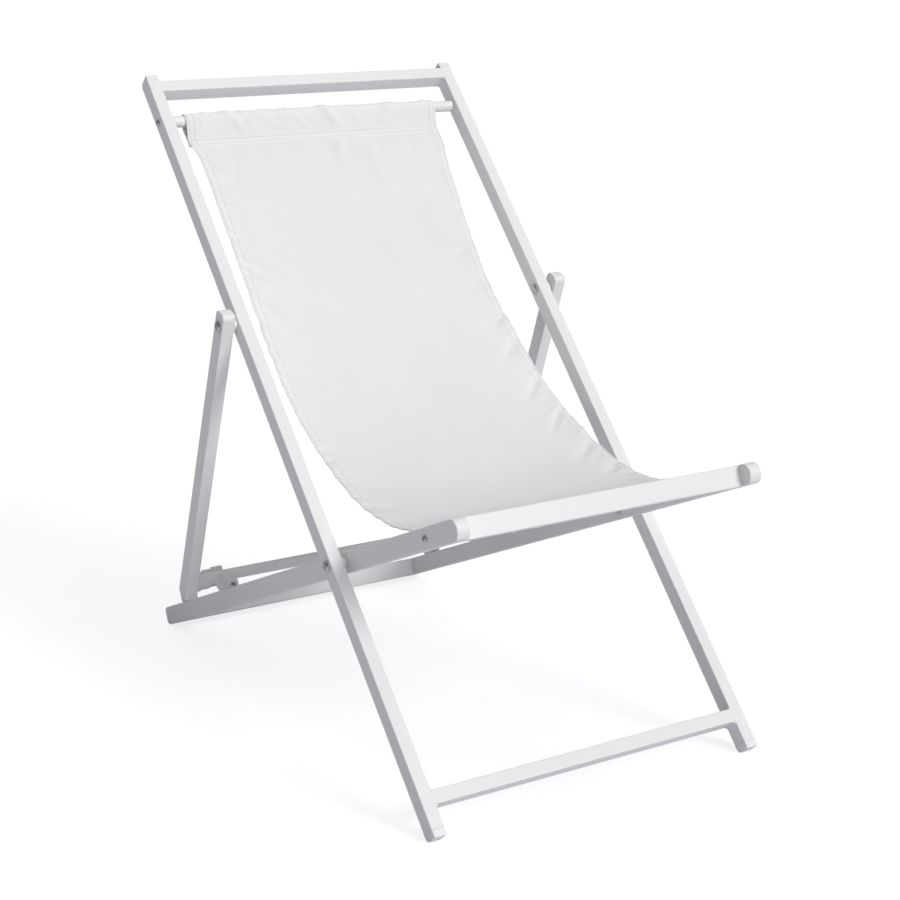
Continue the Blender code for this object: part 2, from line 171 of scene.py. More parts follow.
class Look:
    # one material, its Principled shader and a short way to add nodes to it
    def __init__(self, name, **plain):
        self.material = bpy.data.materials.new(name)
        self.material.use_nodes = True
        self.tree = self.material.node_tree
        self.shader = self.tree.nodes["Principled BSDF"]
        for key, value in plain.items():
            self.shader.inputs[key.replace("_", " ")].default_value = value

    def add(self, kind, settings=None, values=None, out=0):
        node = self.tree.nodes.new(kind)
        for key, value in (settings or {}).items():
            setattr(node, key, value)
        for key, value in (values or {}).items():
            self.feed(node.inputs[key], value)
        return Wire(self, node.outputs[out])

    def work(self, operation, *values):
        return self.add("ShaderNodeMath", {"operation": operation}, dict(enumerate(values)))

    def feed(self, socket, value):
        if isinstance(value, Wire):
            self.tree.links.new(value.socket, socket)
        else:
            socket.default_value = value

    def place(self):
        return self.add("ShaderNodeTexCoord", out=3)

    def noise(self, where, scale, detail=2.0, rough=0.5):
        return self.add("ShaderNodeTexNoise", None,
                        {"Vector": where, "Scale": scale, "Detail": detail, "Roughness": rough})

    def stretched(self, where, scales):
        return self.add("ShaderNodeMapping", {"vector_type": "POINT"},
                        {"Vector": where, "Scale": scales})

    def tint(self, share, first, second):
        return self.add("ShaderNodeMix", {"data_type": "RGBA"}, {0: share, 6: first, 7: second}, 2)

    def bump(self, height, distance, strength=1.0):
        return self.add("ShaderNodeBump", None,
                        {"Height": height, "Distance": distance, "Strength": strength})

    def use(self, **wires):
        for key, value in wires.items():
            self.feed(self.shader.inputs[key.replace("_", " ")], value)
        return self.material


def grey(level, warmth=0.0):
    return (level * (1 + warmth), level, level * (1 - warmth), 1.0)


# floor and room
def makeFloor():
    bpy.ops.object.select_all(action="DESELECT")
    bpy.ops.mesh.primitive_plane_add(size=studio["floorSize"], location=(0, 0, 0))
    floor = bpy.context.object
    floor.name = "studioFloor"
    look = Look("paleFloor", Roughness=0.9)
    cloud = look.noise(look.place(), 1.3, 3)
    shade = studio["floorShade"]
    seen = look.add("ShaderNodeBsdfDiffuse", None,
                    {"Color": look.tint(cloud, grey(shade), grey(shade + 0.02))})
    glow = look.add("ShaderNodeEmission", None,
                    {"Color": (0.985, 0.99, 1.0, 1.0), "Strength": studio["floorGlow"]})
    lit = look.add("ShaderNodeAddShader", None, {0: seen, 1: glow})
    dim = look.add("ShaderNodeBsdfDiffuse", None, {"Color": studio["floorBounce"]})
    straight = look.add("ShaderNodeLightPath")
    both = look.add("ShaderNodeMixShader", None, {0: straight, 1: dim, 2: lit})
    look.feed(look.tree.nodes["Material Output"].inputs["Surface"], both)
    floor.data.materials.append(look.material)


def makeRoom():
    world = bpy.data.worlds[0] if bpy.data.worlds else bpy.data.worlds.new("room")
    bpy.context.scene.world = world
    world.use_nodes = True
    tree = world.node_tree
    back = tree.nodes["Background"]
    back.inputs["Color"].default_value = (*studio["roomColour"], 1)
    back.inputs["Strength"].default_value = studio["roomLight"]
    pale = tree.nodes.new("ShaderNodeBackground")
    pale.inputs["Color"].default_value = (1, 1, 1, 1)
    pale.inputs["Strength"].default_value = 1.0
    straight = tree.nodes.new("ShaderNodeLightPath")
    both = tree.nodes.new("ShaderNodeMixShader")
    tree.links.new(straight.outputs[0], both.inputs[0])
    tree.links.new(back.outputs[0], both.inputs[1])
    tree.links.new(pale.outputs[0], both.inputs[2])
    tree.links.new(both.outputs[0], tree.nodes["World Output"].inputs["Surface"])
    bpy.context.scene.view_settings.view_transform = "Standard"


makeFloor()
makeRoom()
print("studio ready")


# finishes
def powderCoat(name, colour, roughness, texture):
    # sprayed and baked powder: a fine orange peel with a few coarser waves
    look = Look(name, IOR=1.5)
    place = look.place()
    peel = look.noise(place, 1500, 2)
    wave = look.noise(place, 260, 2)
    cloud = look.noise(place, 9, 3)
    low = tuple(c * 0.982 for c in colour)
    shade = look.tint(cloud, (*low, 1), (*colour, 1))
    rough = roughness + 0.10 * (wave - 0.5) + 0.08 * (peel - 0.5)
    height = peel * 0.45 + wave * 0.55
    return look.use(Base_Color=shade, Roughness=rough, Normal=look.bump(height, texture, 0.6))


def mouldedPlastic(name, colour, roughness, grain):
    # injection moulding: an even spark-eroded grain and faint flow lines
    look = Look(name, IOR=1.46)
    place = look.place()
    erode = look.noise(place, 1900, 1)
    flow = look.noise(look.stretched(place, (40, 160, 90)), 1, 2)
    low = tuple(c * 0.965 for c in colour)
    shade = look.tint(flow, (*low, 1), (*colour, 1))
    rough = roughness + 0.12 * (flow - 0.5) + 0.06 * (erode - 0.5)
    return look.use(Base_Color=shade, Roughness=rough, Normal=look.bump(erode, grain, 0.5))


def turnedSteel(name):
    # bolt heads: bright, with fine lathe marks and a few handling scuffs
    look = Look(name, Metallic=1.0)
    place = look.place()
    lines = look.noise(look.stretched(place, (3200, 500, 500)), 1, 2)
    scuff = look.noise(place, 420, 3)
    shade = look.tint(scuff, grey(0.46, 0.02), grey(0.66, 0.01))
    rough = 0.2 + 0.16 * scuff + 0.06 * lines
    return look.use(Base_Color=shade, Roughness=rough, Normal=look.bump(lines, 0.00002, 0.5))


def wovenCanvas(name):
    # plain weave laid out on the cloth's own map, which is in metres
    look = Look(name, Sheen_Weight=0.12, Sheen_Roughness=0.5, IOR=1.4)
    flat = look.add("ShaderNodeUVMap", {"uv_map": "cloth"})
    across = look.add("ShaderNodeSeparateXYZ", None, {0: flat})
    down = Wire(look, across.socket.node.outputs[1])
    turns = 2 * math.pi / clothFacts["weave"]
    weft = look.work("SINE", across * turns)
    warp = look.work("SINE", down * turns)
    over = (weft * warp) > 0.0
    ribs = look.work("ABSOLUTE", look.work("COSINE", across * turns))
    rows = look.work("ABSOLUTE", look.work("COSINE", down * turns))
    slubWarp = look.noise(look.stretched(flat, (1700, 45, 1)), 1, 1)
    slubWeft = look.noise(look.stretched(flat, (45, 1700, 1)), 1, 1)
    yarn = over * (ribs * 0.7 + slubWarp * 0.3) + (1 - over) * (rows * 0.7 + slubWeft * 0.3)
    fold = look.noise(look.stretched(flat, (26, 16, 1)), 1, 3)
    cloud = look.noise(look.stretched(flat, (7, 4, 1)), 1, 2)
    # rows of stitching pull a shallow groove; at every stitch the needle hole gets painted shade,
    # darkened in the base colour
    fromMiddle = look.work("ABSOLUTE", across - clothFacts["mapMiddle"])
    beat = 2 * math.pi / stitchFacts["pitch"]
    alongHem = look.work("SINE", down * beat)
    alongSeam = look.work("SINE", across * beat)
    groove, holeShade = 0.0, 0.0
    for inward in stitchFacts["hemRows"]:
        row = look.work("COMPARE", fromMiddle, clothFacts["halfAtRods"] - inward,
                        stitchFacts["rowHalf"])
        groove = row + groove
        holeShade = row * (alongHem > 0.35) + holeShade
    for fromSeam in stitchFacts["seamRows"]:
        for spot in (topSeamAt + fromSeam, frontSeamAt - fromSeam):
            row = look.work("COMPARE", down, spot, stitchFacts["rowHalf"])
            groove = row + groove
            holeShade = row * (alongSeam > 0.35) + holeShade
    # doubled cloth at the side hems and sleeves is a touch creamier
    edge = fromMiddle > clothFacts["creamFrom"]
    band = clothFacts["sewnBand"]
    sleeves = look.work("MAXIMUM", down < topSeamAt + band, down > frontSeamAt - band)
    cream = look.work("MAXIMUM", edge * 0.45, sleeves)
    body = look.tint(cloud, (0.850, 0.848, 0.846, 1), (0.882, 0.880, 0.872, 1))
    body = look.tint(cream, body, (0.915, 0.912, 0.890, 1))
    shade = look.tint(slubWarp * 0.09 + slubWeft * 0.09, body, (0.76, 0.77, 0.78, 1))
    # painted shade: the needle holes along each stitch row are darkened in the base colour
    shade = look.tint(look.work("MINIMUM", holeShade, 1.0) * 0.42, shade, (0.40, 0.39, 0.36, 1))
    height = yarn * 0.00022 + fold * 0.0034 - groove * 0.0004
    rough = 0.86 + 0.1 * (slubWeft - 0.5)
    return look.use(Base_Color=shade, Roughness=rough, Normal=look.bump(height, 1.0, 0.45))


def sewingThread(name):
    look = Look(name, Sheen_Weight=0.1, Roughness=0.62)
    place = look.place()
    twist = look.noise(place, 2600, 1)
    shade = look.tint(twist, grey(0.80, 0.006), grey(0.90, 0.004))
    return look.use(Base_Color=shade, Roughness=0.55 + 0.2 * twist,
                    Normal=look.bump(twist, 0.00012, 0.6))


stitchFacts = {
    "long": 0.0031,
    "pitch": 0.0040,
    "thread": 0.00040,
    "sink": 0.00010,
    "rowHalf": 0.0008,        # half the width of the groove a row pulls
    "stagger": 0.0016,
    "pastSeam": 0.076,
    "shortOfEdge": 0.004,
    "hemRows": (0.0030, 0.0122),
    "seamRows": (0.0015, 0.0085),
}

clothFacts = {
    "slide": 0.0085,          # the top sleeve sits a little to the left on its rod
    "creamFrom": 0.2095,
    "mapMiddle": 0.5,
    "weave": 0.0011,
    "sewnBand": 0.0125,
    "thick": 0.0009,
    "ply": 0.00115,           # middle to middle of two plies that lie on each other
    "sleeve": 0.031,          # rod's middle to the sleeve's seam
    "sleeveRadius": 0.0110,
    "allowance": 0.011,
    "hem": 0.0145,
    "halfAtRods": 0.2245,
    "bow": 0.0045,            # the middle hangs this far behind the edges
    # side view of the hung cloth between the seams: forward-rear, height, half width
    "hang": (
        (0.3163, 0.7940, 0.2180), (0.2773, 0.7390, 0.2145), (0.2358, 0.6840, 0.2116),
        (0.1943, 0.6310, 0.2100), (0.1473, 0.5770, 0.2118), (0.0913, 0.5260, 0.2158),
        (0.0303, 0.4760, 0.2174), (-0.0407, 0.4330, 0.2196), (-0.1287, 0.3960, 0.2203),
        (-0.1857, 0.3820, 0.2205), (-0.2547, 0.3765, 0.2210), (-0.2957, 0.3820, 0.2215),
    ),
    "step": 0.0044,
    "columnStep": 0.0048,
    "edgeStep": 0.0026,
    "edgeZone": 0.052,        # finer columns this near the edges
    "hemStep": 0.0029,
    "rodStep": 0.0027,
    "nearSeam": 0.012,
    "slideEnds": 0.035,
    "tailAt": 0.080,          # from a seam to the sleeve's sewn tail
    "bendFrom": 0.45,
    "bendTo": 1.0,
}

finishes = {
    "frame_coat": powderCoat("whitePowderCoat", (0.855, 0.855, 0.848), 0.40, 0.00006),
    "rod_coat": powderCoat("whiteRodCoat", (0.850, 0.848, 0.835), 0.36, 0.00004),
    "cap_plastic": mouldedPlastic("whiteCapPlastic", (0.865, 0.865, 0.860), 0.42, 0.00005),
    "rack_plastic": mouldedPlastic("whiteRackPlastic", (0.820, 0.815, 0.790), 0.46, 0.00007),
    "nylon": mouldedPlastic("milkyNylon", (0.880, 0.880, 0.875), 0.35, 0.00003),
    "steel": turnedSteel("turnedSteel"),
}
threadLook = sewingThread("sewingThread")

slotOf = {row["node"]: row["material_slot"] for row in frame["record"]["subparts"]}
for nodeName, node in nodes.items():
    if slotOf[nodeName] in finishes:
        node.data.materials.clear()
        node.data.materials.append(finishes[slotOf[nodeName]])
print("finishes on", len(nodes) - 1, "frame pieces")


# sling: the line the cloth follows, seen from the side
def middleOf(nodeName):
    low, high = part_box(nodeName)
    return np.array([(low.y + high.y) / 2, (low.z + high.z) / 2])


def unit(vector):
    return vector / np.linalg.norm(vector)


def roundCurve(points, spacing):
    # a smooth curve through the points, evenly spaced
    points = np.asarray(points, float)
    ends = np.vstack([2 * points[0] - points[1], points, 2 * points[-1] - points[-2]])
    fine = []
    for i in range(1, len(ends) - 2):
        a, b, c, d = ends[i - 1:i + 3]
        for t in np.arange(0, 1, 0.05):
            fine.append(0.5 * ((2 * b) + (c - a) * t + (2 * a - 5 * b + 4 * c - d) * t ** 2
                               + (3 * b - a - 3 * c + d) * t ** 3))
    fine.append(ends[-2])
    return evenly(np.array(fine), spacing)


def lengthsAlong(points):
    return np.concatenate([[0], np.cumsum(np.linalg.norm(np.diff(points, axis=0), axis=1))])


def evenly(points, spacing):
    along = lengthsAlong(points)
    count = max(2, int(round(along[-1] / spacing)) + 1)
    wanted = np.linspace(0, along[-1], count)
    return np.stack([np.interp(wanted, along, points[:, k]) for k in range(points.shape[1])], 1)


def relaxed(points, times):
    points = points.copy()
    for _ in range(times):
        points[1:-1] = 0.25 * points[:-2] + 0.5 * points[1:-1] + 0.25 * points[2:]
    return points


def arcRound(centre, radius, start, stop):
    angles = np.linspace(start, stop, 60)
    return centre + radius * np.stack([np.cos(angles), np.sin(angles)], 1)


def layCloth():
    top = middleOf("sling_rod_top")
    front = middleOf("sling_rod_front")
    hang = np.array(clothFacts["hang"])
    sleeve, radius = clothFacts["sleeve"], clothFacts["sleeveRadius"]
    topSeam = top + unit(hang[0, :2] - top) * sleeve
    frontSeam = front + unit(hang[-1, :2] - front) * sleeve
    middle = relaxed(roundCurve(np.vstack([topSeam, hang[:, :2], frontSeam]), 0.001), 260)
    wide = np.concatenate([[clothFacts["halfAtRods"]], hang[:, 2], [clothFacts["halfAtRods"]]])
    spots = lengthsAlong(np.vstack([topSeam, hang[:, :2], frontSeam]))
    half = np.interp(lengthsAlong(middle), spots * lengthsAlong(middle)[-1] / spots[-1], wide)
    half = relaxed(half[:, None], 700)[:, 0]
    opening = math.acos(radius / sleeve)
    # top sleeve: up behind the rod, over it and down the front
    way = unit(topSeam - top)
    angle = math.atan2(way[1], way[0]) % (2 * math.pi)
    behind = np.array([-way[1], way[0]])
    tail = topSeam + behind * clothFacts["ply"]
    topPath = np.vstack([tail + way * clothFacts["allowance"], tail,
                         arcRound(top, radius, angle + opening - 2 * math.pi, angle - opening)])
    # front sleeve: over the rod, down its front and back under it
    way = unit(frontSeam - front)
    angle = math.atan2(way[1], way[0])
    under = np.array([way[1], -way[0]])
    tail = frontSeam + under * clothFacts["ply"]
    frontPath = np.vstack([
        arcRound(front, radius, angle + opening, angle - opening + 2 * math.pi),
        tail, tail + way * clothFacts["allowance"]])
    before = evenly(np.vstack([topPath, middle[:1]]), 0.001)
    after = evenly(np.vstack([middle[-1:], frontPath]), 0.001)
    line = np.vstack([before[:-1], middle, after[1:]])
    widths = np.concatenate([np.full(len(before) - 1, clothFacts["halfAtRods"]), half,
                             np.full(len(after) - 1, clothFacts["halfAtRods"])])
    start = lengthsAlong(line)[len(before) - 1]
    end = lengthsAlong(line)[len(before) - 1 + len(middle) - 1]
    line = relaxed(line, 5)
    return line, widths, start, end


clothLine, clothHalf, topSeamAt, frontSeamAt = layCloth()
clothAlong = lengthsAlong(clothLine)
clothLong = clothAlong[-1]
wayAlong = np.gradient(clothLine, axis=0)
wayAlong /= np.linalg.norm(wayAlong, axis=1)[:, None]
clothOut = np.stack([wayAlong[:, 1], -wayAlong[:, 0]], 1)
print("cloth line %.3f m, %.3f m between the seams" % (clothLong, frontSeamAt - topSeamAt))


# sling: puckers, dents and drapes, all drawn once from one seed
def drawCreases():
    dice = random.Random(11)
    creases = []
    reach = frontSeamAt - topSeamAt
    for side in (-1, 1):
        # gathers along the hem where the stitching pulled the cloth short
        spot = 0.045
        while spot < reach - 0.03:
            strength = 0.55 + 0.45 * math.sin(math.pi * min(1, spot / reach * 1.15))
            creases.append({"side": side, "at": spot, "deep": dice.uniform(0.010, 0.034),
                            "wide": dice.uniform(0.0050, 0.0085),
                            "slant": dice.uniform(-0.15, 1.0),
                            "high": strength * dice.uniform(0.35, 1.0) * 0.0031
                            * dice.choice((1, 1, -1)), "inset": 0.010})
            spot += dice.uniform(0.013, 0.031)
        # soft dents further in
        spot = 0.10 if side > 0 else 0.22
        while spot < reach - 0.12:
            creases.append({"side": side, "at": spot, "deep": dice.uniform(0.022, 0.036),
                            "wide": dice.uniform(0.010, 0.016),
                            "slant": dice.uniform(0.5, 1.1),
                            "high": -dice.uniform(0.0024, 0.0048) * (1.0 if side > 0 else 0.55),
                            "inset": 0.026})
            spot += dice.uniform(0.050, 0.085)
    return creases


def drawDrapes():
    dice = random.Random(5)
    drapes = []
    for _ in range(15):
        drapes.append({"at": dice.uniform(-0.21, 0.21), "wide": dice.uniform(0.006, 0.016),
                       "fade": dice.uniform(0.05, 0.16), "slant": dice.uniform(-0.35, 0.35),
                       "high": dice.uniform(-0.0028, 0.0030)})
    return drapes


def drawSleeveFolds():
    dice = random.Random(23)
    folds = []
    for end in ("top", "front"):
        for _ in range(30):
            folds.append({"end": end, "at": dice.uniform(-0.22, 0.22),
                          "wide": dice.uniform(0.0028, 0.008),
                          "slant": dice.uniform(0.25, 1.1) * dice.choice((1, 1, -1)),
                          "high": dice.uniform(0.0004, 0.0016)})
    return folds


def drawCrinkles():
    dice = random.Random(31)
    return [{"x": dice.uniform(-0.17, 0.18), "s": dice.uniform(0.35, 0.82),
             "turn": dice.uniform(-0.6, 0.6) + dice.choice((0, 1.3)),
             "long": dice.uniform(0.008, 0.020), "high": dice.uniform(-0.0014, 0.0014)}
            for _ in range(14)]


creases = drawCreases()
drapes = drawDrapes()
sleeveFolds = drawSleeveFolds()
crinkles = drawCrinkles()


def ease(value, start, stop):
    t = np.clip((value - start) / (stop - start), 0, 1)
    return t * t * (3 - 2 * t)


def reliefAt(x, s):
    # height of the cloth over its smooth shape, x across and s along the cloth
    half = np.interp(s, clothAlong, clothHalf)
    t = s - topSeamAt
    reach = frontSeamAt - topSeamAt
    inside = ease(t, 0.004, 0.03) * ease(reach - t, 0.004, 0.03)
    share = np.clip(x / half, -1, 1)
    height = -clothFacts["bow"] * (1 - share ** 2) * np.sin(np.pi * np.clip(t / reach, 0, 1))
    for crease in creases:
        inward = half - crease["side"] * x
        p = (t - crease["at"] - crease["slant"] * (inward - crease["inset"])) / crease["wide"]
        lobe = (1 - 0.8 * p ** 2) * np.exp(-p ** 2)
        q = (inward - crease["inset"]) / crease["deep"]
        height = height + crease["high"] * lobe * np.exp(-q ** 2) * inside
    for drape in drapes:
        p = (x - drape["at"] - drape["slant"] * t) / (drape["wide"] * (1 + 6 * np.clip(t, 0, 1)))
        fade = np.exp(-np.clip(t, 0, 9) / drape["fade"])
        height = height + drape["high"] * np.exp(-p ** 2) * fade * inside
    for crinkle in crinkles:
        dx, ds = x - crinkle["x"], t - crinkle["s"]
        p = dx * math.cos(crinkle["turn"]) + ds * math.sin(crinkle["turn"])
        q = ds * math.cos(crinkle["turn"]) - dx * math.sin(crinkle["turn"])
        height = height + (crinkle["high"] * np.exp(-(q / 0.0042) ** 2)
                           * np.exp(-(p / crinkle["long"]) ** 2) * inside)
    # slow waves over the whole cloth
    height = height + inside * 0.0007 * (np.sin(x * 31 + t * 9 + 0.6) * np.sin(t * 17 - x * 8)
                                         + 0.6 * np.sin(x * 57 - t * 21 + 2.1))
    for end, sign, seam in (("top", -1, topSeamAt), ("front", 1, frontSeamAt)):
        up = sign * (s - seam)
        band = ease(up, 0.004, 0.016) * ease(0.118 - up, 0.012, 0.030)
        for fold in sleeveFolds:
            if fold["end"] == end:
                p = (x - fold["at"] - fold["slant"] * (up - 0.030)) / fold["wide"]
                height = height + fold["high"] * np.exp(-p ** 2) * band
    return height


def clothPoint(x, s, lift=0.0):
    # points on the cloth: x across, s along, lift out of its face
    spot = np.stack([np.interp(s, clothAlong, clothLine[:, k]) for k in (0, 1)], -1)
    out = np.stack([np.interp(s, clothAlong, clothOut[:, k]) for k in (0, 1)], -1)
    rise = reliefAt(x, s) + lift
    x = x - clothFacts["slide"] * (1 - ease(s, topSeamAt, topSeamAt + clothFacts["slideEnds"]))
    return np.stack([x, spot[..., 0] + out[..., 0] * rise, spot[..., 1] + out[..., 1] * rise], -1)


# sling: one sheet with turned side hems
def clothColumns():
    # (share of the half width, metres in from it, ply) for each column
    ply, hem = clothFacts["ply"], clothFacts["hem"]
    fold = ply / 2
    edge = []
    for inward in np.arange(hem, 0.0005, -clothFacts["hemStep"]):
        edge.append((inward + fold, -ply))
    for angle in (-60, -20, 20, 60):
        edge.append((fold - fold * math.cos(math.radians(angle)),
                     -fold + fold * math.sin(math.radians(angle))))
    inner = clothFacts["halfAtRods"] - clothFacts["edgeZone"]
    for inward in np.arange(fold, clothFacts["edgeZone"], clothFacts["edgeStep"]):
        edge.append((inward, 0.0))
    count = int(round(2 * inner / clothFacts["columnStep"]))
    left = [(-1, inward, lift) for inward, lift in edge]
    right = [(1, inward, lift) for inward, lift in reversed(edge)]
    middle = [(2 * (i / count) - 1, None, 0.0) for i in range(count + 1)]
    return left + middle + right


def clothRows():
    # closer rows round the rods, wider ones between the seams
    near, close = clothFacts["nearSeam"], clothFacts["rodStep"]
    between = int((frontSeamAt - topSeamAt) / clothFacts["step"])
    rows = list(np.arange(0, topSeamAt + near, close))
    rows += list(np.linspace(topSeamAt + near + 0.0015, frontSeamAt - near - 0.0015, between))
    rows += list(np.arange(frontSeamAt - near, clothLong, close)) + [clothLong]
    return np.array(rows)


def meshFrom(name, points, faces, look):
    mesh = bpy.data.meshes.new(name)
    mesh.from_pydata([tuple(p) for p in points], [], faces)
    mesh.materials.append(look)
    obj = bpy.data.objects.new(name, mesh)
    bpy.context.collection.objects.link(obj)
    return obj


def applyAll(obj):
    bpy.ops.object.select_all(action="DESELECT")
    obj.select_set(True)
    bpy.context.view_layer.objects.active = obj
    for modifier in list(obj.modifiers):
        bpy.ops.object.modifier_apply(modifier=modifier.name)


def makeSling():
    columns, rows = clothColumns(), clothRows()
    half = np.interp(rows, clothAlong, clothHalf)
    zone = clothFacts["edgeZone"]
    widest = clothFacts["halfAtRods"]
    inner = half - zone
    xs = np.empty((len(rows), len(columns)))
    lifts = np.empty(len(columns))
    flatX = np.empty(len(columns))
    for j, (share, inward, lift) in enumerate(columns):
        xs[:, j] = share * inner if inward is None else share * (half - inward)
        flatX[j] = share * (widest - (zone if inward is None else inward))
        lifts[j] = lift
    s = np.repeat(rows[:, None], len(columns), 1)
    # the sleeve's sewn tail clears the turned hems where they cross
    edge = ease(np.abs(xs), (half - clothFacts["hem"] - 0.010)[:, None],
                (half - clothFacts["hem"])[:, None])
    tailAt = clothFacts["tailAt"]
    tail = ease(topSeamAt - tailAt - s, -0.012, 0.004) + ease(s - frontSeamAt - tailAt, -0.012, 0.004)
    points = clothPoint(xs, s, lifts[None, :] + edge * tail * 2.1 * clothFacts["ply"])
    wide = len(columns)
    faces = []
    for i in range(len(rows) - 1):
        for j in range(wide - 1):
            here, below = i * wide + j, (i + 1) * wide + j
            faces.append((here, here + 1, below + 1, below))
    sling = meshFrom("canvasSling", points.reshape(-1, 3), faces, canvasLook)
    layer = sling.data.uv_layers.new(name="cloth")
    flatCoords = [(flatX[j] + clothFacts["mapMiddle"], row) for row in rows for j in range(wide)]
    for loop in sling.data.loops:
        layer.data[loop.index].uv = flatCoords[loop.vertex_index]
    thick = sling.modifiers.new("ply", "SOLIDIFY")
    thick.thickness = clothFacts["thick"]
    thick.offset = 0
    applyAll(sling)
    sling.data.shade_smooth()
    return sling


canvasLook = wovenCanvas("wovenCanvas")
sling = makeSling()
print("sling", len(sling.data.polygons), "faces")


# stitching: one stitch is modelled, every other is a copy
def oneStitch():
    bpy.ops.object.select_all(action="DESELECT")
    bpy.ops.mesh.primitive_uv_sphere_add(segments=6, ring_count=4, radius=0.5)
    bpy.ops.object.mode_set(mode="EDIT")
    bpy.ops.transform.resize(value=(stitchFacts["thread"] * 2, stitchFacts["thread"] * 2,
                                    stitchFacts["long"]))
    bpy.ops.mesh.normals_make_consistent(inside=False)
    bpy.ops.object.mode_set(mode="OBJECT")
    model = bpy.context.object
    corners = np.array([v.co for v in model.data.vertices])
    faces = [list(p.vertices) for p in model.data.polygons]
    bpy.data.objects.remove(model)
    return corners, faces


stitchCorners, stitchFaces = oneStitch()


def sew(name, runs):
    # runs are (x, s, dx, ds, lift): a stitch at x, s that heads along dx, ds
    points, faces = [], []
    x, s, dx, ds, lift = (np.array(column, float) for column in zip(*runs))
    reach = stitchFacts["long"] / 2
    begin = clothPoint(x - dx * reach, s - ds * reach, lift)
    end = clothPoint(x + dx * reach, s + ds * reach, lift)
    above = clothPoint(x, s, lift + 0.001)
    centre = clothPoint(x, s, lift)
    for k in range(len(x)):
        along = unit(end[k] - begin[k])
        out = unit(above[k] - centre[k])
        side = np.cross(out, along)
        base = len(points)
        for c in stitchCorners:
            points.append((begin[k] + end[k]) / 2 + side * c[0] + out * c[1] * 0.8 + along * c[2])
        faces += [[base + i for i in face] for face in stitchFaces]
    seam = meshFrom(name, points, faces, threadLook)
    seam.data.shade_smooth()
    return seam


def hemRun(side, inward, lift):
    past = stitchFacts["pastSeam"]
    spots = np.arange(topSeamAt - past, frontSeamAt + past, stitchFacts["pitch"])
    half = np.interp(spots, clothAlong, clothHalf)
    return [(side * (h - inward), s, 0.0, 1.0, lift) for s, h in zip(spots, half)]


def seamRun(s, lift, shift=0.0):
    reach = clothFacts["halfAtRods"] - stitchFacts["shortOfEdge"]
    spots = np.arange(-reach, reach, stitchFacts["pitch"])
    return [(x + shift, s, 1.0, 0.0, lift) for x in spots]


face = clothFacts["thick"] / 2 + stitchFacts["sink"]
back = -clothFacts["ply"] - face


def hemStitches(name, side):
    return sew(name, [run for inward in stitchFacts["hemRows"] for lift in (face, back)
                      for run in hemRun(side, inward, lift)])


def seamStitches(name, seam, sign):
    near, far = stitchFacts["seamRows"]
    return sew(name, seamRun(seam + sign * near, face)
               + seamRun(seam + sign * far, face, stitchFacts["stagger"]))


stitching = [
    hemStitches("hemStitchesLeft", -1),
    hemStitches("hemStitchesRight", 1),
    seamStitches("sleeveStitchesTop", topSeamAt, 1),
    seamStitches("sleeveStitchesFront", frontSeamAt, -1),
]

# cloth and thread have their placement baked into their meshes; the two bend points are worked out
# but not used

def bendPoint(share):
    s = topSeamAt + share * (frontSeamAt - topSeamAt)
    x, y, z = clothPoint(np.array([0.0]), np.array([s]))[0]
    return (0.0, y, z)


for piece in [sling] + stitching:
    bendPoint(clothFacts["bendFrom"])
    bendPoint(clothFacts["bendTo"])
    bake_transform(piece)
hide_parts("sling")
print("stitching", sum(len(piece.data.polygons) for piece in stitching), "faces")


# caps, rods, racks and fixings: merged copies of the frame's pieces with even shading
# a node takes the first kind that its name holds
cleanFacts = {
    "screw": {"sharp": 30, "soft": 0.00015},
    "bolt": {"sharp": 30, "soft": 0.00025},
    "nut": {"sharp": 30, "soft": 0.00025},
    "spacer": {"sharp": 40, "soft": 0.0003},
    "cap": {"sharp": 34, "soft": 0.0},
    "rack": {"sharp": 26, "soft": 0.0006},
    "rod": {"sharp": 34, "soft": 0.0},
}


def cleanCopy(nodeName, facts):
    source = nodes[nodeName]
    copy = bpy.data.objects.new(nodeName + "_skin", source.data.copy())
    bpy.context.collection.objects.link(copy)
    copy.data.transform(source.matrix_world)
    bpy.ops.object.select_all(action="DESELECT")
    copy.select_set(True)
    bpy.context.view_layer.objects.active = copy
    bpy.ops.mesh.customdata_custom_splitnormals_clear()
    bpy.ops.object.mode_set(mode="EDIT")
    bpy.ops.mesh.select_all(action="SELECT")
    bpy.ops.mesh.remove_doubles(threshold=0.00001)
    bpy.ops.mesh.dissolve_limited(angle_limit=math.radians(0.8))
    bpy.ops.mesh.normals_make_consistent(inside=False)
    bpy.ops.object.mode_set(mode="OBJECT")
    if facts["soft"]:
        edge = copy.modifiers.new("softEdge", "BEVEL")
        edge.width = facts["soft"]
        edge.segments = 2
        edge.limit_method = "ANGLE"
        edge.angle_limit = math.radians(40)
        edge.use_clamp_overlap = True
    applyAll(copy)
    bpy.ops.object.shade_smooth_by_angle(angle=math.radians(facts["sharp"]))
    copy.modifiers.new("evenShading", "WEIGHTED_NORMAL").keep_sharp = True
    applyAll(copy)
    return copy


bodyOf = {name: body for body, names in frame["record"]["behaviour"]["bodies"].items()
          for name in names}
cleanCount = 0
for nodeName in sorted(nodes):
    kind = next((word for word in cleanFacts if word in nodeName), None)
    if kind:
        copy = cleanCopy(nodeName, cleanFacts[kind])
        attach(copy, bodyOf[nodeName])
        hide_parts(nodeName)
        cleanCount += 1
print("clean copies of", cleanCount, "small pieces")


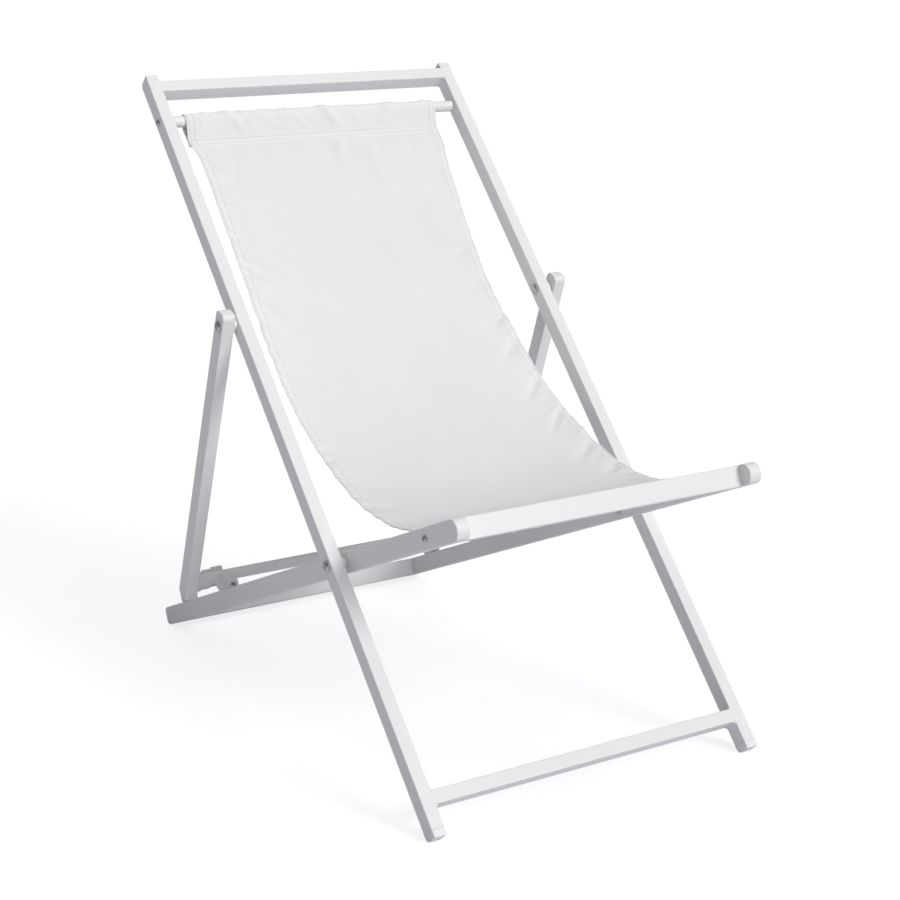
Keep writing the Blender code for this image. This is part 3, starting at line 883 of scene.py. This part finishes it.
# weld fillets in the corners between rails and crossbars
weldFacts = {
    "backAngle": 46.7,
    "floorLine": -0.4777,     # where the line of the back frame's front faces meets the floor
    "railInner": 0.255,
    "backDeep": 0.026,
    "behindFace": 0.0012,
    "inset": 0.0004,
    # name, place along the rail, which way it faces, size
    "fillets": (("Top", 1.250, -1, 0.0042), ("Foot", 0.0624, -1, 0.0058),
                ("Shin", 0.0824, 1, 0.0042)),
    "ground": (0.0046, 0.0176, 0.0015),      # width, height and depth of a ground weld
    "proud": 0.0001,
    "backJoint": 0.2555,
    "backBars": (("Top", 1.260), ("Foot", 0.0724)),
    "seatJoint": 0.2280,
    "seatHalf": 0.015,
    "seatBars": (("Front", 0.2944), ("Rear", -0.687)),
}
backLean = math.radians(weldFacts["backAngle"])
backUp = Vector((0, math.cos(backLean), math.sin(backLean)))
backFront = Vector((0, -backUp.z, backUp.y))


def onBack(x, along, behind=0.0):
    return Vector((x, weldFacts["floorLine"], 0)) + backUp * along + backFront * behind


def weldFillet(name, body, corner, outward, away, depth, size):
    # a square bar in the corner, its free long edge taken down to a hollow curve
    bpy.ops.object.select_all(action="DESELECT")
    bpy.ops.mesh.primitive_cube_add(size=1)
    fillet = bpy.context.object
    fillet.name = name
    bpy.ops.object.mode_set(mode="EDIT")
    bpy.ops.transform.translate(value=(0.5, 0.5, 0.5))
    bpy.ops.transform.resize(value=(size, size, depth.length), center_override=(0, 0, 0))
    bpy.ops.mesh.select_mode(type="EDGE")
    bpy.ops.mesh.select_all(action="DESELECT")
    bpy.ops.object.mode_set(mode="OBJECT")
    for edge in fillet.data.edges:
        ends = [fillet.data.vertices[i].co for i in edge.vertices]
        edge.select = all(abs(p.x - size) < 1e-6 and abs(p.y - size) < 1e-6 for p in ends)
    bpy.ops.object.mode_set(mode="EDIT")
    bpy.ops.mesh.bevel(offset=size * 0.97, segments=7, profile=0.12, affect="EDGES")
    bpy.ops.object.mode_set(mode="OBJECT")
    place = Matrix((outward, away, depth.normalized())).transposed().to_4x4()
    fillet.data.transform(Matrix.Translation(corner) @ place)
    bpy.ops.object.mode_set(mode="EDIT")
    bpy.ops.mesh.select_all(action="SELECT")
    bpy.ops.mesh.normals_make_consistent(inside=False)
    bpy.ops.object.mode_set(mode="OBJECT")
    bpy.ops.object.shade_smooth_by_angle(angle=math.radians(40))
    fillet.data.materials.append(finishes["frame_coat"])
    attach(fillet, body)
    return fillet


inset, behindFace = weldFacts["inset"], weldFacts["behindFace"]
for side, sign in (("Left", -1), ("Right", 1)):
    inward = Vector((-sign, 0, 0))
    depth = backFront * -(weldFacts["backDeep"] - 2 * behindFace)
    for label, along, way, size in weldFacts["fillets"]:
        corner = onBack(sign * (weldFacts["railInner"] + inset), along - way * inset, -behindFace)
        weldFillet("weld" + label + side, "back_frame", corner, inward, backUp * way, depth, size)


# where a crossbar's face runs on into a rail's face the weld is ground flush
def groundWeld(name, body, centre, upward, outward):
    size = weldFacts["ground"]
    bpy.ops.object.select_all(action="DESELECT")
    bpy.ops.mesh.primitive_cube_add(size=1)
    pad = bpy.context.object
    pad.name = name
    bpy.ops.object.mode_set(mode="EDIT")
    bpy.ops.transform.resize(value=size)
    bpy.ops.mesh.bevel(offset=0.00012, segments=1, affect="EDGES")
    bpy.ops.object.mode_set(mode="OBJECT")
    place = Matrix((upward.cross(outward), upward, outward)).transposed().to_4x4()
    sunk = centre - outward * (size[2] / 2 - weldFacts["proud"])
    pad.data.transform(Matrix.Translation(sunk) @ place)
    bpy.ops.object.shade_smooth_by_angle(angle=math.radians(20))
    pad.data.materials.append(finishes["frame_coat"])
    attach(pad, body)


hinge = Vector(frame["record"]["behaviour"]["joints"][0]["pos_m"])
seatRod = middleOf("sling_rod_front")
seatForward = (Vector((0, *seatRod)) - hinge).normalized()
seatUp = Vector((0, seatForward.z, -seatForward.y))
backFaces = (("Front", 0.0, backFront), ("Rear", -weldFacts["backDeep"], -backFront))
seatFaces = (("Upper", 1), ("Lower", -1))
for side, sign in (("Left", -1), ("Right", 1)):
    for label, along in weldFacts["backBars"]:
        for faceName, behind, outward in backFaces:
            groundWeld("groundWeld" + label + faceName + side, "back_frame",
                       onBack(sign * weldFacts["backJoint"], along, behind), backUp, outward)
    for label, ahead in weldFacts["seatBars"]:
        for faceName, lift in seatFaces:
            middle = (hinge + Vector((sign * weldFacts["seatJoint"], 0, 0)) + seatForward * ahead
                      + seatUp * (weldFacts["seatHalf"] * lift))
            groundWeld("groundWeldSeat" + label + faceName + side, "seat_frame", middle,
                       seatForward, seatUp * lift)
print("welds done")
